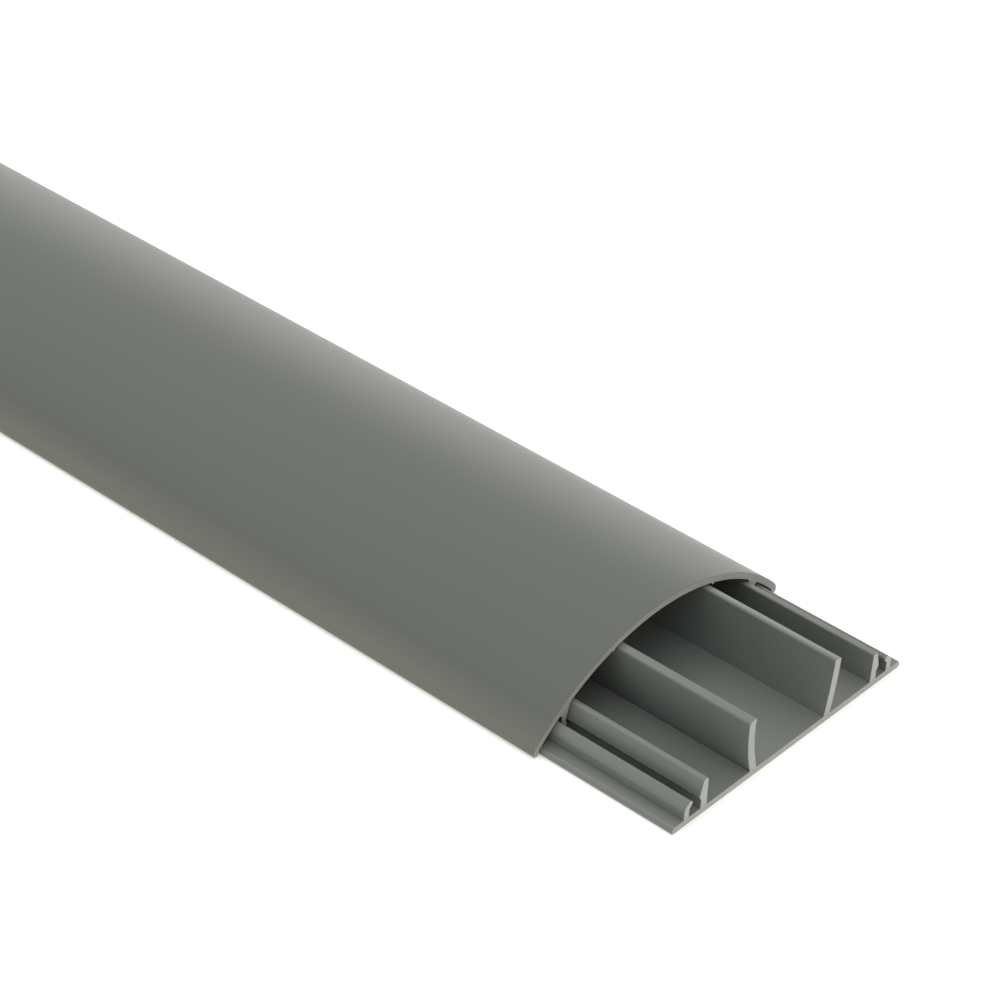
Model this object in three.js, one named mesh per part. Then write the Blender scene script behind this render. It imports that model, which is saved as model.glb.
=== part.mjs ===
// Floor cord cover: a length of rigid PVC trunking that lies on a floor and carries cords under a low dome.
// Two extruded pieces: a flat base with two tunnel walls and a pair of clip ribs along each side, and a domed
// cover whose lips hide the base's edges and whose legs snap between the ribs.
// Millimetres. X runs across the trunking, Y along it, Z up. The floor is at Z = 0. The origin is on the
// floor, in the middle of the whole object. The end that shows the section is the one at low Y.

import * as THREE from 'three';

// Stock
const LENGTH = 2000; // both pieces are cut from the same stock length
const COVER_SETBACK = 32.5; // how far the cover is slid back from the base's near end

// Cover
const COVER_WIDTH = 75;
const COVER_HEIGHT = 18;
const COVER_WALL = 1.5;
const SHOULDER_RADIUS = 2.5; // where the dome turns down into the lip
const LIP_LIFT = 0.15; // the lips stop this far above the floor
const BEAD_RADIUS = 0.4; // a small ridge beside each tunnel wall's tip
const BEAD_GAP = 0.6; // between a tunnel wall's tip and its ridge

// Base plate
const PLATE_THICKNESS = 1.5;
const ROOT_FILLET = 0.2; // where the walls and the ribs grow out of the plate
const EDGE_RADIUS = 0.8; // upper corner of the plate's edge
const HEEL_RADIUS = 0.5; // lower corner of the plate's edge

// Tunnel walls, which part the space under the dome into three
const WALL_THICKNESS = 2;
const WALL_FOOT = 11.5; // from the middle to the wall's foot
const WALL_TIP = 13.2; // from the middle to the wall's tip, so both walls lean out
const LEFT_WALL_BOW = 0.65; // how far each wall bulges outwards from straight
const RIGHT_WALL_BOW = 0.25;
const WALL_TIP_RADIUS = 0.5; // on both corners of a wall's top

// Clip ribs: each leg of the cover goes down into the groove between an inner and an outer rib
const GROOVE_INSET = 8.35; // from the cover's outermost edge to the middle of the groove
const GROOVE_WIDTH = 3.4; // between the two ribs, at the plate
const INNER_RIB_FOOT = 1.9; // thickness at the plate
const INNER_RIB_TOP = 1.35; // thickness at the narrow top
const INNER_RIB_SLOPE = 0.35; // how far the top stands back from the groove
const INNER_CATCH = 0.6; // how far the inner rib's catch reaches over the groove
const OUTER_RIB_THICKNESS = 1.5;
const HOOK_REACH = 0.8; // how far the outer rib's hook reaches over the groove
const HOOK_HEIGHT = 0.5; // thickness of the hook's nose
const CATCH_DROP = 1.1; // from the outer rib's top down to both catches
const UNDERCUT = 0.8; // height of the slope under each catch
const INNER_RIB_HEADROOM = 0.34; // between the inner rib's top and the dome
const OUTER_RIB_HEADROOM = 0.45;
const RIB_FILLET = 0.4; // at the ribs' tops and catches, and along the legs

// Legs
const LEG_BARB = 0.2; // how far a leg's barbs reach in under the catches
const BARB_DROP = 1.2; // from the catches down to the barbs
const LEG_TIP = 0.8; // width of a leg's blunt tip
const LEG_LIFT = 0.9; // between a leg's tip and the plate
const LEG_ROOT_INSIDE = 2; // fillets between a leg and the dome
const LEG_ROOT_OUTSIDE = 1.4;

// Clearances between the two pieces
const CLEARANCE = 0.3; // at the lips and above the tunnel walls
const LEG_PLAY = 0.4; // between a leg and the catches beside it

// No chord of a rounded stretch lies further than this from its true arc
const ARC_SAG = 0.004;

const corner = (x, z, radius = 0) => ({ x, z, radius });

// Points along an arc from one angle to another, in radians from +X towards +Z.
function arc(centreX, centreZ, radius, from, to) {
  const step = 2 * Math.acos(1 - ARC_SAG / radius);
  const count = Math.ceil(Math.abs(to - from) / step);
  return Array.from({ length: count + 1 }, (_, i) => {
    const angle = from + ((to - from) * i) / count;
    return corner(centreX + radius * Math.cos(angle), centreZ + radius * Math.sin(angle));
  });
}

// The arc that rounds one corner. Its radius is held back where a side beside it is short.
function roundedCorner(before, here, after) {
  const side = (other) => new THREE.Vector2(other.x - here.x, other.z - here.z);
  const room = (other) => (side(other).length() * here.radius) / (here.radius + other.radius);
  const toBefore = side(before).normalize();
  const toAfter = side(after).normalize();
  const halfAngle = Math.acos(toBefore.dot(toAfter)) / 2;
  const reach = Math.min(here.radius / Math.tan(halfAngle), room(before), room(after));
  const radius = reach * Math.tan(halfAngle);
  const centre = toBefore.clone().add(toAfter).setLength(radius / Math.sin(halfAngle));
  const angleTo = (direction) => Math.atan2(direction.y * reach - centre.y, direction.x * reach - centre.x);
  const from = angleTo(toBefore);
  const turn = angleTo(toAfter) - from;
  const shortTurn = Math.atan2(Math.sin(turn), Math.cos(turn));
  return arc(here.x + centre.x, here.z + centre.y, radius, from, from + shortTurn);
}

// A closed outline from its corners, each rounded by its own radius.
function outline(corners) {
  const points = corners.flatMap((here, i) => {
    const before = corners.at(i - 1);
    const after = corners[(i + 1) % corners.length];
    return here.radius > 0 ? roundedCorner(before, here, after) : [here];
  });
  return new THREE.Shape(points.map(({ x, z }) => new THREE.Vector2(x, z)));
}

// The same corners on the other side of the middle, in the opposite order.
function mirrored(corners) {
  return corners.map(({ x, z, radius }) => corner(-x, z, radius)).reverse();
}

// The base fits between the cover's lips, which have round ends.
const halfWidth = COVER_WIDTH / 2;
const plateEdge = halfWidth - COVER_WALL - CLEARANCE;
const lipCentre = halfWidth - COVER_WALL / 2;
const lipLevel = LIP_LIFT + COVER_WALL / 2;

// The dome is one arc that runs smoothly into both shoulders.
const shoulderCentre = halfWidth - SHOULDER_RADIUS;
const domeRise = COVER_HEIGHT - lipLevel;
const domeRadius =
  (shoulderCentre ** 2 + domeRise ** 2 - SHOULDER_RADIUS ** 2) / (2 * (domeRise - SHOULDER_RADIUS));
const domeCentre = COVER_HEIGHT - domeRadius;
const undersideRadius = domeRadius - COVER_WALL;
const wallTop = (x) => domeCentre + Math.sqrt((undersideRadius - CLEARANCE) ** 2 - x ** 2);
const undersideAngle = (x) => Math.acos(x / undersideRadius);
const underside = (x) => domeCentre + Math.sqrt(undersideRadius ** 2 - x ** 2);

// Where ribs and legs meet, on the side where X is positive.
const grooveMiddle = halfWidth - GROOVE_INSET;
const innerFace = grooveMiddle - GROOVE_WIDTH / 2;
const outerFace = grooveMiddle + GROOVE_WIDTH / 2;
const innerCatch = innerFace + INNER_CATCH;
const hookNose = outerFace - HOOK_REACH;
const outerRibTop = underside(outerFace) - OUTER_RIB_HEADROOM;
const catchLevel = outerRibTop - CATCH_DROP;
const innerRibCrest = innerFace - INNER_RIB_SLOPE;

// A wall that bows outwards, with a top that follows the dome's underside.
function tunnelWall(bow) {
  const half = WALL_THICKNESS / 2;
  const foot = new THREE.Vector2(WALL_FOOT, PLATE_THICKNESS);
  const tip = new THREE.Vector2(WALL_TIP, wallTop(WALL_TIP));
  const chord = tip.clone().sub(foot);
  const radius = (chord.lengthSq() / 4 + bow ** 2) / (2 * bow);
  const centre = new THREE.Vector2(-chord.y, chord.x).setLength(radius - bow);
  centre.add(foot.clone().add(tip).divideScalar(2));
  const low = Math.atan2(foot.y - centre.y, foot.x - centre.x);
  const high = Math.atan2(tip.y - centre.y, tip.x - centre.x);
  const inside = arc(centre.x, centre.y, radius - half, low, high);
  const outside = arc(centre.x, centre.y, radius + half, high, low);
  return [
    corner(inside.at(0).x, PLATE_THICKNESS, ROOT_FILLET),
    ...inside.slice(1, -1),
    corner(inside.at(-1).x, wallTop(inside.at(-1).x), WALL_TIP_RADIUS),
    corner(outside.at(0).x, wallTop(outside.at(0).x), WALL_TIP_RADIUS),
    ...outside.slice(1, -1),
    corner(outside.at(-1).x, PLATE_THICKNESS, ROOT_FILLET),
  ];
}

// The inner rib slopes down from a narrow top to its catch, and is undercut below.
function innerRib() {
  const top = underside(innerRibCrest) - INNER_RIB_HEADROOM;
  return [
    corner(innerFace - INNER_RIB_FOOT, PLATE_THICKNESS, ROOT_FILLET),
    corner(innerRibCrest - INNER_RIB_TOP, top, RIB_FILLET),
    corner(innerRibCrest, top, RIB_FILLET),
    corner(innerCatch, catchLevel, RIB_FILLET),
    corner(innerFace, catchLevel - UNDERCUT, RIB_FILLET),
    corner(innerFace, PLATE_THICKNESS, ROOT_FILLET),
  ];
}

// The outer rib curls over the groove into a hook.
function outerRib() {
  const back = outerFace + OUTER_RIB_THICKNESS;
  return [
    corner(outerFace, PLATE_THICKNESS, ROOT_FILLET),
    corner(outerFace, catchLevel - UNDERCUT, RIB_FILLET),
    corner(hookNose, catchLevel, RIB_FILLET),
    corner(hookNose, catchLevel + HOOK_HEIGHT, RIB_FILLET),
    corner(outerFace, outerRibTop, RIB_FILLET),
    corner(back, outerRibTop - OUTER_RIB_THICKNESS, OUTER_RIB_THICKNESS),
    corner(back, PLATE_THICKNESS, ROOT_FILLET),
  ];
}

// The base's upper face on one side, from the middle to the edge.
function baseHalf(wallBow) {
  return [
    ...tunnelWall(wallBow),
    ...innerRib(),
    ...outerRib(),
    corner(plateEdge, PLATE_THICKNESS, EDGE_RADIUS),
  ];
}

function baseOutline() {
  return outline([
    ...mirrored(baseHalf(LEFT_WALL_BOW)),
    ...baseHalf(RIGHT_WALL_BOW),
    corner(plateEdge, 0, HEEL_RADIUS),
    corner(-plateEdge, 0, HEEL_RADIUS),
  ]);
}

// A leg hangs from the dome and follows the inner rib's slope. Its barbed tip catches under both ribs.
const legOutside = hookNose - LEG_PLAY;
const legRootInside = innerRibCrest + LEG_PLAY;

function leg() {
  const barbLevel = catchLevel - BARB_DROP;
  const tipLevel = PLATE_THICKNESS + LEG_LIFT;
  return [
    corner(legOutside, underside(legOutside), LEG_ROOT_OUTSIDE),
    corner(legOutside, barbLevel + LEG_PLAY, RIB_FILLET),
    corner(hookNose + LEG_BARB, barbLevel, RIB_FILLET),
    corner(grooveMiddle + LEG_TIP / 2, tipLevel, RIB_FILLET),
    corner(grooveMiddle - LEG_TIP / 2, tipLevel, RIB_FILLET),
    corner(innerCatch - LEG_BARB, barbLevel, RIB_FILLET),
    corner(innerCatch + LEG_PLAY, catchLevel, RIB_FILLET),
    corner(legRootInside, underside(legRootInside), LEG_ROOT_INSIDE),
  ];
}

// The ridge under the dome that a tunnel wall would lean against.
const beadPlace = WALL_TIP + WALL_THICKNESS / 2 + BEAD_GAP + BEAD_RADIUS;
const beadAngle = undersideAngle(beadPlace);
const beadHalfAngle = BEAD_RADIUS / undersideRadius;

function bead() {
  const level = underside(beadPlace);
  return arc(beadPlace, level, BEAD_RADIUS, beadAngle - Math.PI / 2, beadAngle - 1.5 * Math.PI);
}

// The cover's skin on one side: out over the dome, round the lip and back along the underside.
function coverHalf() {
  const dome = (from, to) => arc(0, domeCentre, domeRadius, from, to);
  const under = (from, to) => arc(0, domeCentre, undersideRadius, from, to);
  const crown = Math.PI / 2;
  const shoulder = Math.atan2(lipLevel - domeCentre, shoulderCentre);
  return [
    ...dome(crown, shoulder),
    ...arc(shoulderCentre, lipLevel, SHOULDER_RADIUS, shoulder, 0).slice(1),
    ...arc(lipCentre, lipLevel, COVER_WALL / 2, 0, -Math.PI).slice(1),
    ...arc(shoulderCentre, lipLevel, SHOULDER_RADIUS - COVER_WALL, 0, shoulder).slice(1),
    ...under(shoulder, undersideAngle(legOutside)).slice(1, -1),
    ...leg(),
    ...under(undersideAngle(legRootInside), beadAngle - beadHalfAngle).slice(1),
    ...bead().slice(1, -1),
    ...under(beadAngle + beadHalfAngle, crown),
  ];
}

function coverOutline() {
  const half = coverHalf();
  return outline([...half, ...mirrored(half).slice(1, -1)]);
}

// A straight length of one section, which starts at the given place along Y.
function extrusion(name, section, start, material) {
  const geometry = new THREE.ExtrudeGeometry(section, { depth: LENGTH, bevelEnabled: false });
  const mesh = new THREE.Mesh(geometry, material);
  mesh.name = name;
  mesh.rotation.x = Math.PI / 2;
  mesh.position.y = start + LENGTH;
  return mesh;
}

const greyPvc = (color) => new THREE.MeshStandardMaterial({ color, roughness: 0.45, metalness: 0 });

const cordCover = new THREE.Group();
const baseStart = -(LENGTH + COVER_SETBACK) / 2;
cordCover.add(extrusion('base_channel', baseOutline(), baseStart, greyPvc(0x8f918c)));
cordCover.add(extrusion('domed_cover', coverOutline(), baseStart + COVER_SETBACK, greyPvc(0x7d807a)));

export default cordCover;
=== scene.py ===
# The looks of a length of floor cord cover: a flat base with two tunnel walls and clip ribs, and a domed
# cover set back from the base's sawn end. Both pieces are extruded grey PVC, so each is its section carried
# along Y. Metres, with X across the trunking, Y along it and Z up from the floor.

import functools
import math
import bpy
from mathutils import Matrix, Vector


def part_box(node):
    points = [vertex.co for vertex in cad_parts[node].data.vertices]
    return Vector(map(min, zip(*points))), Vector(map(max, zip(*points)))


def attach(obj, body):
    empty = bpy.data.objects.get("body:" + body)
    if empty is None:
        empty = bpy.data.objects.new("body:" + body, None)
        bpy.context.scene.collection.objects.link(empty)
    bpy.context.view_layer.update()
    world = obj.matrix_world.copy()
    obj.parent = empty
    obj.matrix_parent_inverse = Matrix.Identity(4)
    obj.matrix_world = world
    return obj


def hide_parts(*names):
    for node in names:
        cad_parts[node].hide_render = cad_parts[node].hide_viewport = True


bl_info = {
    "name": "Floor Cord Cover",
    "version": (1, 0, 0),
    "blender": (4, 5, 0),
    "location": "View3D > Sidebar > Cord Cover",
    "description": "Dresses the two extruded pieces of a floor cord cover and sets up its studio",
    "category": "Add Mesh",
}

import bmesh
import bpy
from bpy.props import FloatProperty, FloatVectorProperty, IntProperty, PointerProperty
from bpy.types import Operator, Panel, PropertyGroup
from mathutils import Matrix, Vector

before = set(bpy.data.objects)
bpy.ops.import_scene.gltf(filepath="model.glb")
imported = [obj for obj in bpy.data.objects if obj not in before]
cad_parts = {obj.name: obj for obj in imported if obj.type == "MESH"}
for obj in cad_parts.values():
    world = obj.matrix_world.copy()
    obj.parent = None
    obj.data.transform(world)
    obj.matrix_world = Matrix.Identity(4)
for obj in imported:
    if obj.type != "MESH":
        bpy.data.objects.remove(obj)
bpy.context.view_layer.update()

MM = 0.001
NEAR_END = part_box("base_channel")[0].y  # the base's sawn end that the camera sees

# Section corners nearer than this are one corner.
SAME_POINT = 0.002 * MM

# A face whose normal points along Y by more than this is a sawn end.
END_FACE = 0.5

# An inward turn between two of a tight fillet's chords is at least this, as a sine.
HOLLOW_TURN = 0.25

# This keeps the way out of a very sharp corner from growing long.
LEAST_MITRE = 0.5

# The sawn edge is rounded in this many steps. A ring of faces this many rims behind it keeps the shading of
# the long faces flat.
RIM_STEPS = 3
BACKING_RING = 2.2

# An edge that turns more than this is shaded sharp.
SHARP_TURN = math.radians(35)


class CordCoverStock(PropertyGroup):
    """How both extruded lengths are cut and meshed"""

    station_gap: FloatProperty(
        name="Station gap",
        description="Distance between the rings of faces along the length",
        default=25 * MM,
        min=5 * MM,
        subtype="DISTANCE",
    )
    rim: FloatProperty(
        name="Rim",
        description="Radius that the saw and handling leave on the cut edges",
        default=0.06 * MM,
        min=0.02 * MM,
        max=0.3 * MM,
        subtype="DISTANCE",
    )
    raggedness: FloatProperty(
        name="Raggedness",
        description="How unevenly the cut edges are broken, as a share of the rim",
        default=0.45,
        min=0.0,
        max=0.9,
        subtype="FACTOR",
    )
    seed: IntProperty(
        name="Seed",
        description="Picks another pattern of breaks along the cut edges",
        default=4,
    )


class CordCoverFinish(PropertyGroup):
    """Colours and sheen of the PVC"""

    cover_colour: FloatVectorProperty(
        name="Cover colour",
        description="Extruded skin of the cover",
        default=(0.0670, 0.0734, 0.0668),
        min=0.0,
        max=1.0,
        subtype="COLOR",
    )
    base_colour: FloatVectorProperty(
        name="Base colour",
        description="Extruded skin of the base",
        default=(0.124, 0.135, 0.1235),
        min=0.0,
        max=1.0,
        subtype="COLOR",
    )
    cover_cut_colour: FloatVectorProperty(
        name="Cover cut colour",
        description="Sawn ends of the cover",
        default=(0.285, 0.290, 0.266),
        min=0.0,
        max=1.0,
        subtype="COLOR",
    )
    base_cut_colour: FloatVectorProperty(
        name="Base cut colour",
        description="Sawn ends of the base, which the blade has whitened",
        default=(0.332, 0.332, 0.311),
        min=0.0,
        max=1.0,
        subtype="COLOR",
    )
    # Painted light: the cover's lips near the floor are tinted paler and warmer, standing in for light that
    # the floor bounces up onto them.
    bounce_colour: FloatVectorProperty(
        name="Scuff colour",
        description="Skin of the cover's lips, which shoes and brooms have scuffed",
        default=(0.108, 0.107, 0.092),
        min=0.0,
        max=1.0,
        subtype="COLOR",
    )
    # The height up to which that painted bounce light reaches.
    bounce_height: FloatProperty(
        name="Scuff height",
        description="How far up from the floor the cover's lips are scuffed",
        default=6.5 * MM,
        min=0.5 * MM,
        subtype="DISTANCE",
    )
    whitening: FloatProperty(
        name="Whitening",
        description="How much paler the blade has left the cuts of the thin ribs than the cut of the plate",
        default=0.13,
        min=0.0,
        max=1.0,
        subtype="FACTOR",
    )
    skin_roughness: FloatProperty(
        name="Skin roughness",
        description="Roughness of the satin skin",
        default=0.37,
        min=0.05,
        max=1.0,
        subtype="FACTOR",
    )
    cut_roughness: FloatProperty(
        name="Cut roughness",
        description="Roughness of the sawn ends",
        default=0.78,
        min=0.05,
        max=1.0,
        subtype="FACTOR",
    )
    # Painted shade: the skin's colour is darkened in the tight inner corners, standing in for the shade that
    # falls in them.
    hollow_shade: FloatProperty(
        name="Hollow shade",
        description="How dark the fine grime leaves the tight inner corners, as a share of the clean skin",
        default=0.6,
        min=0.0,
        max=1.0,
        subtype="FACTOR",
    )
    blade_radius: FloatProperty(
        name="Blade radius",
        description="Radius of the circular saw blade whose arcs mark the cut ends",
        default=125 * MM,
        min=20 * MM,
        subtype="DISTANCE",
    )


class CordCoverStudio(PropertyGroup):
    """Camera, light and floor"""

    lens: FloatProperty(
        name="Lens",
        description="Focal length of the camera in millimetres, on a sensor 36 mm wide",
        default=113.75,
        min=10.0,
    )
    stand: FloatVectorProperty(
        name="Stand",
        description="Camera's place, measured from the middle of the base's near end at floor level",
        default=(-396.1 * MM, -257.2 * MM, 386.7 * MM),
        subtype="TRANSLATION",
    )
    heading: FloatProperty(
        name="Heading",
        description="Camera's turn from straight along the trunking",
        default=math.radians(49.94),
        subtype="ANGLE",
    )
    dip: FloatProperty(
        name="Dip",
        description="How far the camera looks down",
        default=math.radians(35.34),
        subtype="ANGLE",
    )
    roll: FloatProperty(
        name="Roll",
        description="How far the camera is turned about its own view",
        default=math.radians(3.18),
        subtype="ANGLE",
    )
    key_direction: FloatVectorProperty(
        name="Key direction",
        description="Where the soft main light comes from",
        default=(-0.04, 0.2, 1.0),
        subtype="DIRECTION",
    )
    key_strength: FloatProperty(
        name="Key strength",
        description="Strength of the soft main light",
        default=0.93,
        min=0.0,
    )
    key_angle: FloatProperty(
        name="Key angle",
        description="How wide the soft main light looks from the object",
        default=math.radians(80),
        subtype="ANGLE",
    )
    sheen_direction: FloatVectorProperty(
        name="Sheen direction",
        description="Where the room's bright side lies, low behind the cover, which gives it its sheen",
        default=(0.85, 0.51, 0.06),
        subtype="DIRECTION",
    )
    sheen_focus: FloatProperty(
        name="Sheen focus",
        description="How quickly the room's bright side falls off round its middle",
        default=5.0,
        min=1.0,
    )
    room_colour: FloatVectorProperty(
        name="Room colour",
        description="Tint of the light from all round the room",
        default=(1.0, 1.0, 0.97),
        min=0.0,
        max=1.0,
        subtype="COLOR",
    )
    room_bright: FloatProperty(
        name="Bright side",
        description="Brightness of the room on its bright side",
        default=1.68,
        min=0.0,
    )
    room_dim: FloatProperty(
        name="Dim side",
        description="Brightness of the rest of the room",
        default=1.03,
        min=0.0,
    )
    floor_colour: FloatVectorProperty(
        name="Floor colour",
        description="The plain pale floor",
        default=(0.70, 0.694, 0.682),
        min=0.0,
        max=1.0,
        subtype="COLOR",
    )
    floor_glow: FloatProperty(
        name="Floor glow",
        description="Light that the floor gives off by itself, so that it stays white right up to the object",
        default=0.45,
        min=0.0,
    )
    floor_size: FloatProperty(
        name="Floor size",
        description="Side of the square floor",
        default=60.0,
        min=4.0,
        subtype="DISTANCE",
    )


# Node trees


def feed(tree, socket, value):
    """Links an output to an input, or sets the input's own value."""
    if isinstance(value, bpy.types.NodeSocket):
        tree.links.new(value, socket)
    else:
        socket.default_value = value


def add(tree, kind, inputs=None, **settings):
    """A new node with its settings, and its inputs fed by name or place."""
    node = tree.nodes.new(kind)
    for name, value in settings.items():
        setattr(node, name, value)
    for name, value in (inputs or {}).items():
        feed(tree, node.inputs[name], value)
    return node


def maths(tree, operation, *values):
    """The result of one Math node on numbers or sockets."""
    return add(tree, "ShaderNodeMath", dict(enumerate(values)), operation=operation).outputs[0]


def vector_maths(tree, operation, *values):
    """The result of one Vector Math node on vectors or sockets."""
    node = add(tree, "ShaderNodeVectorMath", dict(enumerate(values)), operation=operation)
    return node.outputs["Value" if operation in ("DOT_PRODUCT", "LENGTH", "DISTANCE") else "Vector"]


def scaled(tree, vector, factor):
    """A vector times one number."""
    node = add(tree, "ShaderNodeVectorMath", {0: vector}, operation="SCALE")
    feed(tree, node.inputs["Scale"], factor)
    return node.outputs["Vector"]


# The extruded length, as a Geometry Nodes tree


class ExtrudedLength:
    """The tree that carries an outline along Y and finishes its two sawn ends."""

    INPUTS = (
        ("Start", "NodeSocketFloat"),
        ("Length", "NodeSocketFloat"),
        ("Station Gap", "NodeSocketFloat"),
        ("Rim", "NodeSocketFloat"),
        ("Raggedness", "NodeSocketFloat"),
        ("Seed", "NodeSocketInt"),
        ("Skin", "NodeSocketMaterial"),
        ("Cut", "NodeSocketMaterial"),
    )
    BREAKS = 900.0  # breaks along the cut edges for each metre

    def __init__(self):
        self.tree = bpy.data.node_groups.new("Extruded Length", "GeometryNodeTree")
        self.sockets = {}
        face = self.tree.interface
        face.new_socket("Geometry", in_out="INPUT", socket_type="NodeSocketGeometry")
        face.new_socket("Geometry", in_out="OUTPUT", socket_type="NodeSocketGeometry")
        for name, kind in self.INPUTS:
            self.sockets[name] = face.new_socket(name, in_out="INPUT", socket_type=kind)
        self.given = self.add("NodeGroupInput").outputs
        self.outline = self.given["Geometry"]
        result = self.finished(self.joined(self.walls(), self.end_face(0.0), self.end_face(1.0)))
        self.add("NodeGroupOutput", {"Geometry": result})

    def add(self, kind, inputs=None, **settings):
        return add(self.tree, kind, inputs, **settings)

    def maths(self, operation, *values):
        return maths(self.tree, operation, *values)

    def from_outline(self, value, index, kind="FLOAT_VECTOR"):
        """A value of the outline's corner of this index."""
        return self.add(
            "GeometryNodeSampleIndex",
            {"Geometry": self.outline, "Value": value, "Index": index},
            data_type=kind,
        ).outputs[0]

    def stored(self, name, kind):
        """What the outline's corners hold under this name."""
        return self.add("GeometryNodeInputNamedAttribute", {"Name": name}, data_type=kind).outputs[0]

    def outward(self):
        return self.stored("outward", "FLOAT_VECTOR")

    def stood_up(self, flat, along):
        """A point of the flat outline, stood up across the length at this place along it."""
        parts = self.add("ShaderNodeSeparateXYZ", {0: flat}).outputs
        place = self.maths("ADD", self.given["Start"], along)
        return self.add("ShaderNodeCombineXYZ", {"X": parts["X"], "Y": place, "Z": parts["Y"]}).outputs[0]

    def walls(self):
        """A grid wrapped round the outline: a column for each corner and a row for each station."""
        counted = self.add("GeometryNodeAttributeDomainSize", {"Geometry": self.outline})
        corners = counted.outputs["Point Count"]
        gaps = self.maths("CEIL", self.maths("DIVIDE", self.given["Length"], self.given["Station Gap"]))
        # One station more than there are gaps, and the rows of both rims.
        rim_rows = 2 * (RIM_STEPS + 1)
        stations = self.maths("ADD", gaps, rim_rows + 1)
        columns = self.maths("ADD", corners, 1.0)
        grid = self.add(
            "GeometryNodeMeshGrid",
            {"Size X": 1.0, "Size Y": 1.0, "Vertices X": columns, "Vertices Y": stations},
        ).outputs["Mesh"]

        index = self.add("GeometryNodeInputIndex").outputs[0]
        row = self.maths("MODULO", index, stations)
        column = self.maths("FLOOR", self.maths("DIVIDE", index, stations))
        corner = self.maths("MODULO", column, corners)
        flat = self.from_outline(self.add("GeometryNodeInputPosition").outputs[0], corner)
        outward = self.from_outline(self.outward(), corner)
        inset, along = self.profile(row, stations, flat)
        drawn_in = scaled(self.tree, outward, self.maths("MULTIPLY", inset, -1.0))
        place = self.stood_up(vector_maths(self.tree, "ADD", flat, drawn_in), along)
        skin = self.add("GeometryNodeSetPosition", {"Geometry": grid, "Position": place}).outputs[0]
        # The hollows are the tight inner corners, where the skin's material paints shade.
        hollow = self.from_outline(self.stored("hollow", "FLOAT"), corner, "FLOAT")
        hollow_marked = self.add(
            "GeometryNodeStoreNamedAttribute",
            {"Geometry": skin, "Name": "hollow", "Value": hollow},
            data_type="FLOAT",
            domain="POINT",
        ).outputs[0]
        return self.marked(hollow_marked, False)

    def profile(self, row, stations, flat):
        """How far a station is drawn in, and how far along the length it lies."""
        last = self.maths("SUBTRACT", stations, 1.0)
        from_far = self.maths("SUBTRACT", last, row)
        step = self.maths("MINIMUM", self.maths("MINIMUM", row, from_far), float(RIM_STEPS))
        turn = self.maths("MULTIPLY", step, math.pi / 2 / RIM_STEPS)
        narrowing = self.maths("SUBTRACT", 1.0, self.maths("SINE", turn))
        inset = self.maths("MULTIPLY", self.given["Rim"], narrowing)
        rounding = self.maths("SUBTRACT", 1.0, self.maths("COSINE", turn))
        depth = self.maths("MULTIPLY", self.broken_rim(flat, row, last), rounding)

        backing = self.maths("MULTIPLY", self.given["Rim"], BACKING_RING)
        inner_first = float(RIM_STEPS + 1)
        inner_last = self.maths("SUBTRACT", last, inner_first)
        inner_end = self.maths("SUBTRACT", self.given["Length"], backing)
        inner = self.add(
            "ShaderNodeMapRange",
            {0: row, 1: inner_first, 2: inner_last, 3: backing, 4: inner_end},
        )
        is_far = self.maths("LESS_THAN", from_far, row)
        far_depth = self.maths("SUBTRACT", self.given["Length"], depth)
        end = self.add("ShaderNodeMix", {"Factor": is_far, "A": depth, "B": far_depth}).outputs["Result"]
        is_inner = self.maths("GREATER_THAN", self.maths("MINIMUM", row, from_far), RIM_STEPS + 0.5)
        along = self.add("ShaderNodeMix", {"Factor": is_inner, "A": end, "B": inner.outputs[0]})
        return inset, along.outputs["Result"]

    def broken_rim(self, flat, row, last):
        """The rim's depth round the outline, uneven where the saw has broken the edge."""
        which_end = self.maths("GREATER_THAN", row, self.maths("MULTIPLY", last, 0.5))
        draw = self.maths("ADD", self.given["Seed"], which_end)
        noise = self.add(
            "ShaderNodeTexNoise",
            {"Vector": flat, "W": draw, "Scale": self.BREAKS, "Detail": 2.0},
            noise_dimensions="4D",
        ).outputs[0]
        swing = self.maths("MULTIPLY", self.maths("SUBTRACT", noise, 0.5), 2.0)
        share = self.maths("MULTIPLY_ADD", swing, self.given["Raggedness"], 1.0)
        return self.maths("MULTIPLY", self.given["Rim"], share)

    def marked(self, geometry, value):
        """The geometry with its sawn faces marked."""
        return self.add(
            "GeometryNodeStoreNamedAttribute",
            {"Geometry": geometry, "Name": "sawn", "Value": value},
            data_type="BOOLEAN",
            domain="FACE",
        ).outputs[0]

    def end_face(self, share):
        """The flat sawn face at the start or the end of the length, inside the rim."""
        position = self.add("GeometryNodeInputPosition").outputs[0]
        drawn_in = scaled(self.tree, self.outward(), self.maths("MULTIPLY", self.given["Rim"], -1.0))
        inner = self.add(
            "GeometryNodeSetPosition",
            {"Geometry": self.outline, "Position": vector_maths(self.tree, "ADD", position, drawn_in)},
        ).outputs[0]
        curve = self.add("GeometryNodeMeshToCurve", {"Mesh": inner}).outputs[0]
        filled = self.add("GeometryNodeFillCurve", {"Curve": curve}, mode="NGONS").outputs[0]
        along = self.maths("MULTIPLY", self.given["Length"], share)
        place = self.stood_up(self.add("GeometryNodeInputPosition").outputs[0], along)
        face = self.add("GeometryNodeSetPosition", {"Geometry": filled, "Position": place}).outputs[0]
        if share > 0:
            face = self.add("GeometryNodeFlipFaces", {"Mesh": face}).outputs[0]
        face = self.add("GeometryNodeSetShadeSmooth", {"Geometry": face, "Shade Smooth": False}).outputs[0]
        return self.marked(face, True)

    def joined(self, *parts):
        """One closed mesh of the walls and the end faces."""
        join = self.add("GeometryNodeJoinGeometry")
        for part in parts:
            self.tree.links.new(part, join.inputs[0])
        inputs = {"Geometry": join.outputs[0], "Distance": SAME_POINT}
        return self.add("GeometryNodeMergeByDistance", inputs).outputs[0]

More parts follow.
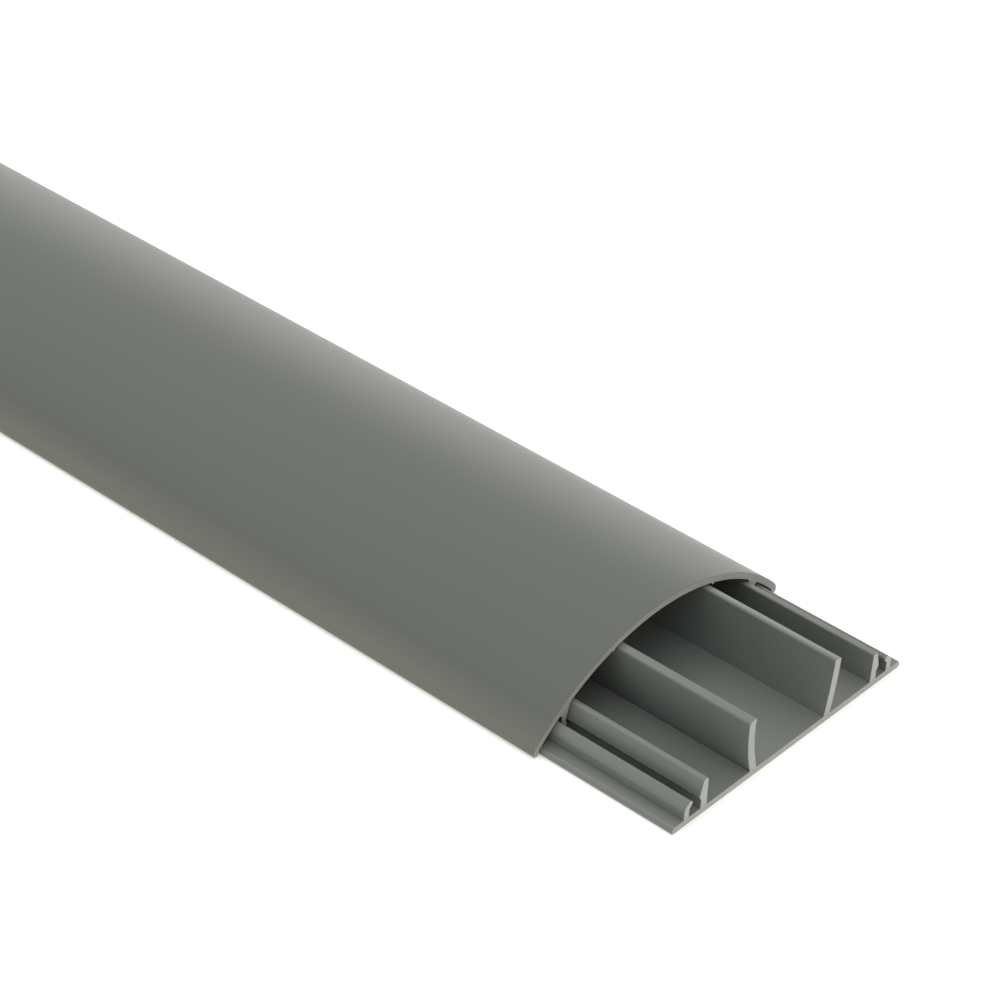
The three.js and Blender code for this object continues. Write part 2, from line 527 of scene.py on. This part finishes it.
    def finished(self, geometry):
        """Sharp where the section turns sharply, smooth elsewhere, and given its two materials."""
        turn = self.add("GeometryNodeInputMeshEdgeAngle").outputs["Unsigned Angle"]
        sharp = self.maths("GREATER_THAN", turn, SHARP_TURN)
        shaded = self.add(
            "GeometryNodeSetShadeSmooth",
            {"Geometry": geometry, "Selection": sharp, "Shade Smooth": False},
            domain="EDGE",
        ).outputs[0]
        real = self.add("GeometryNodeRealizeInstances", {"Geometry": shaded}).outputs[0]
        skinned = self.add(
            "GeometryNodeSetMaterial",
            {"Geometry": real, "Material": self.given["Skin"]},
        ).outputs[0]
        sawn = self.add("GeometryNodeInputNamedAttribute", {"Name": "sawn"}, data_type="BOOLEAN").outputs[0]
        return self.add(
            "GeometryNodeSetMaterial",
            {"Geometry": skinned, "Selection": sawn, "Material": self.given["Cut"]},
        ).outputs[0]

    def apply(self, name, outline, values):
        """A plain mesh object of the outline carried along the length."""
        rough = bpy.data.objects.new(name, outline)
        bpy.context.collection.objects.link(rough)
        modifier = rough.modifiers.new("Extruded Length", "NODES")
        modifier.node_group = self.tree
        for label, value in values.items():
            modifier[self.sockets[label].identifier] = value
        graph = bpy.context.evaluated_depsgraph_get()
        rough.data = bpy.data.meshes.new_from_object(rough.evaluated_get(graph))
        rough.data.name = name
        rough.data.materials.pop(index=0)  # the tree's empty first slot, which no face uses
        rough.modifiers.clear()
        return rough


# Sections


def end_rim(node):
    """The near end's rim edges of a CAD node, with its loose triangles merged."""
    solid = bmesh.new()
    solid.from_mesh(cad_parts[node].data)
    bmesh.ops.remove_doubles(solid, verts=solid.verts, dist=SAME_POINT)
    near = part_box(node)[0].y

    def on_rim(edge):
        at_end = all(abs(corner.co.y - near) < SAME_POINT for corner in edge.verts)
        facing = [abs(face.normal.y) > END_FACE for face in edge.link_faces]
        return at_end and any(facing) and not all(facing)

    neighbours = {}
    for edge in filter(on_rim, solid.edges):
        first, second = (corner.co.xz.to_tuple() for corner in edge.verts)
        neighbours.setdefault(first, []).append(second)
        neighbours.setdefault(second, []).append(first)
    solid.free()
    return neighbours


def section_corners(node):
    """A node's section as its corners in clockwise order, seen along Y."""
    neighbours = end_rim(node)
    first = min(neighbours)
    corners = [first, neighbours[first][0]]
    while len(corners) < len(neighbours):
        ahead = [c for c in neighbours[corners[-1]] if c != corners[-2]]
        corners.append(ahead[0])
    pairs = zip(corners, corners[1:] + corners[:1])
    twice_area = sum(ax * bz - bx * az for (ax, az), (bx, bz) in pairs)
    return [Vector(c) for c in (corners[::-1] if twice_area > 0 else corners)]


def outward_at(before, here, after):
    """The way out of a clockwise outline at a corner, long enough to keep a parallel edge parallel."""
    along = [(here - before).normalized(), (after - here).normalized()]
    normals = [Vector((-way.y, way.x)) for way in along]
    middle = (normals[0] + normals[1]).normalized()
    return middle / max(middle.dot(normals[0]), LEAST_MITRE)


def is_hollow(before, here, after):
    """Whether a clockwise outline turns in sharply at a corner, as along a tight fillet."""
    first = (here - before).normalized()
    second = (after - here).normalized()
    return first.x * second.y - first.y * second.x > HOLLOW_TURN


def section_outline(node):
    """A flat mesh of the node's section, one closed run of edges, with the way out and the hollows stored."""
    corners = section_corners(node)
    count = len(corners)
    mesh = bpy.data.meshes.new(node + "_section")
    edges = [(i, (i + 1) % count) for i in range(count)]
    mesh.from_pydata([(c.x, c.y, 0.0) for c in corners], edges, [])
    around = [(corners[i - 1], corner, corners[(i + 1) % count]) for i, corner in enumerate(corners)]
    outward = mesh.attributes.new("outward", "FLOAT_VECTOR", "POINT")
    for place, three in zip(outward.data, around):
        place.vector = outward_at(*three).to_3d()
    hollow = mesh.attributes.new("hollow", "FLOAT", "POINT")
    for place, three in zip(hollow.data, around):
        place.value = float(is_hollow(*three))
    return mesh


# Materials

# The skin's shade where each kind of unevenness is weakest and strongest.
CLOUD_SHADE = (0.93, 1.07)
STREAK_SHADE = (0.96, 1.04)
GRAIN_SHADE = (0.95, 1.05)
DUST_SHADE = (1.0, 1.35)

# What the mottling and the die lines take from the skin's roughness and add to it, and how rough the tight
# hollows are, where the skin's colour also holds painted shade.
CLOUD_DULLING = (-0.05, 0.05)
STREAK_DULLING = (-0.03, 0.03)
HOLLOW_ROUGHNESS = 0.9

# The share of red and of blue in the skin's cooler patches and in its warmer ones.
PATCH_RED = (0.96, 1.04)
PATCH_BLUE = (1.05, 0.95)

# The lips get the full painted bounce light up to this share of its height above the floor, though more in
# some patches than in others.
BOUNCE_FULL = 0.4
BOUNCE_PATCHES = (0.7, 1.3)

# The cut's shade where each kind of unevenness is weakest and strongest, and what the arcs do to roughness.
ARC_SHADE = (0.84, 1.14)
CRUMB_SHADE = (0.86, 1.14)
BLOOM_SHADE = (0.9, 1.1)
ARC_DULLING = (-0.08, 0.08)

# The middle of the saw blade, in blade radii across and up from the middle of the section's foot.
BLADE_MIDDLE = (0.3, 0.0, 0.9)

# The base's cut gets paler from the first to the second of these heights, and of these distances from the
# middle. Nearer the middle it gets only this share as pale.
PALER_ABOVE = (1.5 * MM, 2.5 * MM)
PALER_BEYOND = (18 * MM, 24 * MM)
PALER_INSIDE = 0.35

FLOOR_SHADE = (0.985, 1.0)
FLOOR_ROUGHNESS = 0.9
FLOOR_SPECULAR = 0.2


def new_material(name):
    """An empty node material with its shader and output linked."""
    material = bpy.data.materials.new(name)
    material.use_nodes = True
    tree = material.node_tree
    tree.nodes.clear()
    shader = add(tree, "ShaderNodeBsdfPrincipled")
    output = add(tree, "ShaderNodeOutputMaterial")
    tree.links.new(shader.outputs[0], output.inputs["Surface"])
    return material, tree, shader


def noise(tree, place, scale, detail=2.0, roughness=0.5):
    """A noise from 0 to 1."""
    inputs = {"Vector": place, "Scale": scale, "Detail": detail, "Roughness": roughness}
    return add(tree, "ShaderNodeTexNoise", inputs).outputs[0]


def drawn_out(tree, place, stretch):
    """Coordinates that draw a pattern out along the extrusion."""
    return vector_maths(tree, "MULTIPLY", place, (1.0, 1.0 / stretch, 1.0))


def spread(tree, value, low, high):
    """A value from 0 to 1 turned into one from low to high."""
    return add(tree, "ShaderNodeMapRange", {0: value, 3: low, 4: high}).outputs[0]


def step_up(tree, value, low, high):
    """A value turned into 0 at low, 1 at high and what lies between."""
    return add(tree, "ShaderNodeMapRange", {0: value, 1: low, 2: high}).outputs[0]


def relief(tree, height, distance, strength, under=None):
    """A bump of this height, on top of the one under it."""
    inputs = {"Height": height, "Distance": distance, "Strength": strength}
    if under is not None:
        inputs["Normal"] = under
    return add(tree, "ShaderNodeBump", inputs).outputs[0]


def product(tree, *values):
    """Several factors multiplied together."""
    result = values[0]
    for value in values[1:]:
        result = maths(tree, "MULTIPLY", result, value)
    return result


def skin_material(name, colour, finish, floor_bounce=False):
    """Satin extruded PVC: soft mottling, die lines, a fine grain, dust specks, and painted shade darkening
    the tight hollows.
    """
    material, tree, shader = new_material(name)
    place = add(tree, "ShaderNodeTexCoord").outputs["Object"]
    cloud = noise(tree, drawn_out(tree, place, stretch=4.0), scale=22.0)
    streak = noise(tree, drawn_out(tree, place, stretch=220.0), scale=700.0, detail=3.0, roughness=0.6)
    grain = noise(tree, place, scale=2600.0, roughness=0.6)
    speck = add(tree, "ShaderNodeTexVoronoi", {"Vector": place, "Scale": 55.0}).outputs["Distance"]
    dust = step_up(tree, speck, low=0.035, high=0.02)
    painted_shade = add(tree, "ShaderNodeAttribute", attribute_name="hollow").outputs["Fac"]

    # The skin's shade: mottling, die lines, grain and dust specks, and painted shade that darkens the tight
    # inner corners.
    shade = product(
        tree,
        spread(tree, cloud, *CLOUD_SHADE),
        spread(tree, streak, *STREAK_SHADE),
        spread(tree, grain, *GRAIN_SHADE),
        spread(tree, dust, *DUST_SHADE),
        spread(tree, painted_shade, 1.0, finish.hollow_shade),
    )
    tint = warmed(tree, colour, noise(tree, drawn_out(tree, place, stretch=3.0), scale=38.0))
    # Painted light: the cover's lips turn paler and warmer towards the floor, standing in for light that the
    # floor bounces up.
    if floor_bounce:
        tint = bounce_lit(tree, tint, place, finish)
    feed(tree, shader.inputs["Base Color"], scaled(tree, tint, shade))
    dull = maths(tree, "ADD", spread(tree, cloud, *CLOUD_DULLING), spread(tree, streak, *STREAK_DULLING))
    dull = maths(tree, "ADD", dull, spread(tree, painted_shade, finish.skin_roughness, HOLLOW_ROUGHNESS))
    feed(tree, shader.inputs["Roughness"], dull)
    lines = relief(tree, streak, distance=0.01 * MM, strength=0.5)
    feed(tree, shader.inputs["Normal"], relief(tree, grain, distance=0.01 * MM, strength=0.6, under=lines))
    return material


def warmed(tree, colour, amount):
    """The colour, a little warmer where the amount is high and a little cooler where it is low."""
    warm = add(
        tree,
        "ShaderNodeCombineXYZ",
        {"X": spread(tree, amount, *PATCH_RED), "Y": 1.0, "Z": spread(tree, amount, *PATCH_BLUE)},
    ).outputs[0]
    return vector_maths(tree, "MULTIPLY", tuple(colour), warm)


def bounce_lit(tree, tint, place, finish):
    """The tint, turned paler and warmer on the lips near the floor: painted light that stands in for light
    the floor bounces up.
    """
    height = add(tree, "ShaderNodeSeparateXYZ", {0: place}).outputs["Z"]
    full_below = BOUNCE_FULL * finish.bounce_height
    low = step_up(tree, height, low=finish.bounce_height, high=full_below)
    patchy = spread(tree, noise(tree, drawn_out(tree, place, stretch=3.0), scale=90.0), *BOUNCE_PATCHES)
    bounce_share = maths(tree, "MINIMUM", maths(tree, "MULTIPLY", low, patchy), 1.0)
    toward = vector_maths(tree, "SUBTRACT", tuple(finish.bounce_colour), tint)
    return vector_maths(tree, "ADD", tint, scaled(tree, toward, bounce_share))


def cut_material(name, colour, finish, whitening=0.0):
    """A sawn end: whitened and rough, with the arcs of a circular blade across it."""
    material, tree, shader = new_material(name)
    place = add(tree, "ShaderNodeTexCoord").outputs["Object"]
    flat = vector_maths(tree, "MULTIPLY", place, (1.0, 0.0, 1.0))
    blade = tuple(share * finish.blade_radius for share in BLADE_MIDDLE)
    reach = vector_maths(tree, "DISTANCE", flat, blade)
    ring = add(tree, "ShaderNodeCombineXYZ", {"X": reach}).outputs[0]
    arcs = noise(tree, ring, scale=3200.0, detail=3.0, roughness=0.7)
    crumbs = noise(tree, place, scale=4200.0, detail=3.0, roughness=0.7)
    bloom = noise(tree, place, scale=160.0)

    shade = product(
        tree,
        spread(tree, arcs, *ARC_SHADE),
        spread(tree, crumbs, *CRUMB_SHADE),
        spread(tree, bloom, *BLOOM_SHADE),
        whitened(tree, flat, whitening),
    )
    feed(tree, shader.inputs["Base Color"], scaled(tree, tuple(colour), shade))
    dull = maths(tree, "ADD", spread(tree, arcs, *ARC_DULLING), finish.cut_roughness)
    feed(tree, shader.inputs["Roughness"], dull)
    scores = relief(tree, arcs, distance=0.03 * MM, strength=0.6)
    rough = relief(tree, crumbs, distance=0.02 * MM, strength=0.6, under=scores)
    feed(tree, shader.inputs["Normal"], rough)
    return material


def whitened(tree, flat, amount):
    """How much paler the cut is at each place: most on the ribs, and less on the tunnel walls."""
    parts = add(tree, "ShaderNodeSeparateXYZ", {0: flat}).outputs
    above_plate = step_up(tree, parts["Z"], *PALER_ABOVE)
    beyond_walls = step_up(tree, maths(tree, "ABSOLUTE", parts["X"]), *PALER_BEYOND)
    share = spread(tree, beyond_walls, PALER_INSIDE, 1.0)
    return maths(tree, "MULTIPLY_ADD", maths(tree, "MULTIPLY", above_plate, share), amount, 1.0)


def floor_material(colour, glow):
    """A plain matte floor with a trace of unevenness, that glows a little as a light table does."""
    material, tree, shader = new_material("pale_floor")
    place = add(tree, "ShaderNodeTexCoord").outputs["Object"]
    uneven = spread(tree, noise(tree, place, scale=3.0), *FLOOR_SHADE)
    feed(tree, shader.inputs["Base Color"], scaled(tree, tuple(colour), uneven))
    shader.inputs["Emission Color"].default_value = (*colour, 1.0)
    shader.inputs["Emission Strength"].default_value = glow
    shader.inputs["Roughness"].default_value = FLOOR_ROUGHNESS
    shader.inputs["Specular IOR Level"].default_value = FLOOR_SPECULAR
    return material


# Pieces


@functools.cache
def extruded_length():
    """The one tree that both pieces share."""
    return ExtrudedLength()


def extruded_piece(scene, name, node, body, skin, cut):
    """A finished length that stands for a CAD node, with its section read from the node."""
    stock = scene.cord_cover_stock
    low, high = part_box(node)
    values = {
        "Start": low.y,
        "Length": high.y - low.y,
        "Station Gap": stock.station_gap,
        "Rim": stock.rim,
        "Raggedness": stock.raggedness,
        "Seed": stock.seed,
        "Skin": skin,
        "Cut": cut,
    }
    piece = extruded_length().apply(name, section_outline(node), values)
    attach(piece, body)
    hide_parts(node)
    return piece


class CORDCOVER_OT_base(Operator):
    """Makes the base: the plate, its two tunnel walls and its clip ribs"""

    bl_idname = "cord_cover.base"
    bl_label = "Base"

    def execute(self, context):
        finish = context.scene.cord_cover_finish
        skin = skin_material("base_skin", finish.base_colour, finish)
        cut = cut_material("base_cut", finish.base_cut_colour, finish, finish.whitening)
        extruded_piece(context.scene, "base_length", "base_channel", "base", skin, cut)
        return {"FINISHED"}


class CORDCOVER_OT_cover(Operator):
    """Makes the domed cover with its lips and legs"""

    bl_idname = "cord_cover.cover"
    bl_label = "Cover"

    def execute(self, context):
        finish = context.scene.cord_cover_finish
        # The cover's lips get painted bounce light from the floor.
        skin = skin_material("cover_skin", finish.cover_colour, finish, floor_bounce=True)
        cut = cut_material("cover_cut", finish.cover_cut_colour, finish)
        extruded_piece(context.scene, "cover_length", "domed_cover", "cover", skin, cut)
        return {"FINISHED"}


# Studio

SENSOR_WIDTH = 36.0  # of the camera, in millimetres


def add_floor(studio):
    """A plain pale floor that the object stands on."""
    half = studio.floor_size / 2
    corners = [(-half, -half, 0), (half, -half, 0), (half, half, 0), (-half, half, 0)]
    mesh = bpy.data.meshes.new("floor")
    mesh.from_pydata(corners, [], [(0, 1, 2, 3)])
    mesh.materials.append(floor_material(studio.floor_colour, studio.floor_glow))
    floor = bpy.data.objects.new("floor", mesh)
    bpy.context.collection.objects.link(floor)


def add_key_light(studio):
    """One wide soft light, the same along the whole length."""
    data = bpy.data.lights.new("key_light", "SUN")
    data.energy = studio.key_strength
    data.angle = studio.key_angle
    light = bpy.data.objects.new("key_light", data)
    light.rotation_mode = "QUATERNION"
    light.rotation_quaternion = Vector(studio.key_direction).to_track_quat("Z", "Y")
    bpy.context.collection.objects.link(light)


def add_room(scene, studio):
    """A pale room all round the object, brighter on one side."""
    room = bpy.data.worlds.new("room")
    room.use_nodes = True
    tree = room.node_tree
    tree.nodes.clear()
    way = add(tree, "ShaderNodeTexCoord").outputs["Generated"]
    towards = vector_maths(tree, "DOT_PRODUCT", way, Vector(studio.sheen_direction).normalized())
    near_sheen = maths(tree, "POWER", maths(tree, "MAXIMUM", towards, 0.0), studio.sheen_focus)
    strength = spread(tree, near_sheen, studio.room_dim, studio.room_bright)
    light = add(tree, "ShaderNodeBackground", {"Strength": strength})
    add(tree, "ShaderNodeOutputWorld", {"Surface": light.outputs[0]})
    light.inputs["Color"].default_value = (*studio.room_colour, 1.0)
    scene.world = room


def camera_axes(studio):
    """The camera's right, up and ahead directions."""
    heading, dip, roll = studio.heading, studio.dip, studio.roll
    level = Vector((math.sin(heading), math.cos(heading), 0.0))
    ahead = level * math.cos(dip) - Vector((0.0, 0.0, math.sin(dip)))
    flat_right = Vector((level.y, -level.x, 0.0))
    flat_up = flat_right.cross(ahead)
    right = flat_right * math.cos(roll) + flat_up * math.sin(roll)
    return right, right.cross(ahead), ahead


def add_camera(scene, studio):
    """The camera that looks at the near end from the left."""
    data = bpy.data.cameras.new("camera")
    data.lens = studio.lens
    data.sensor_width = SENSOR_WIDTH
    camera = bpy.data.objects.new("camera", data)
    right, up, ahead = camera_axes(studio)
    turn = Matrix((right, up, -ahead)).transposed()
    place = Vector((0.0, NEAR_END, 0.0)) + Vector(studio.stand)
    camera.matrix_world = Matrix.LocRotScale(place, turn, None)
    bpy.context.collection.objects.link(camera)
    scene.camera = camera


class CORDCOVER_OT_studio(Operator):
    """Sets up the pale floor, the soft light and the camera"""

    bl_idname = "cord_cover.studio"
    bl_label = "Studio"

    def execute(self, context):
        scene = context.scene
        studio = scene.cord_cover_studio
        scene.view_settings.view_transform = "Standard"
        add_floor(studio)
        add_key_light(studio)
        add_room(scene, studio)
        add_camera(scene, studio)
        return {"FINISHED"}


# The add-on


class CORDCOVER_PT_panel(Panel):
    """Lists the pieces, the studio and the settings behind them"""

    bl_idname = "CORDCOVER_PT_panel"
    bl_label = "Floor Cord Cover"
    bl_space_type = "VIEW_3D"
    bl_region_type = "UI"
    bl_category = "Cord Cover"

    def draw(self, context):
        for operator in OPERATORS:
            self.layout.operator(operator.bl_idname)
        for name, group in SETTINGS.items():
            box = self.layout.box()
            for setting in group.__annotations__:
                box.prop(getattr(context.scene, name), setting)


OPERATORS = (CORDCOVER_OT_studio, CORDCOVER_OT_base, CORDCOVER_OT_cover)
SETTINGS = {
    "cord_cover_stock": CordCoverStock,
    "cord_cover_finish": CordCoverFinish,
    "cord_cover_studio": CordCoverStudio,
}
CLASSES = (*SETTINGS.values(), *OPERATORS, CORDCOVER_PT_panel)


def register():
    for each in CLASSES:
        bpy.utils.register_class(each)
    for name, group in SETTINGS.items():
        setattr(bpy.types.Scene, name, PointerProperty(type=group))


def unregister():
    for name in SETTINGS:
        delattr(bpy.types.Scene, name)
    for each in reversed(CLASSES):
        bpy.utils.unregister_class(each)


def main():
    register()
    bpy.ops.cord_cover.studio()
    bpy.ops.cord_cover.base()
    bpy.ops.cord_cover.cover()


if __name__ == "__main__":
    main()
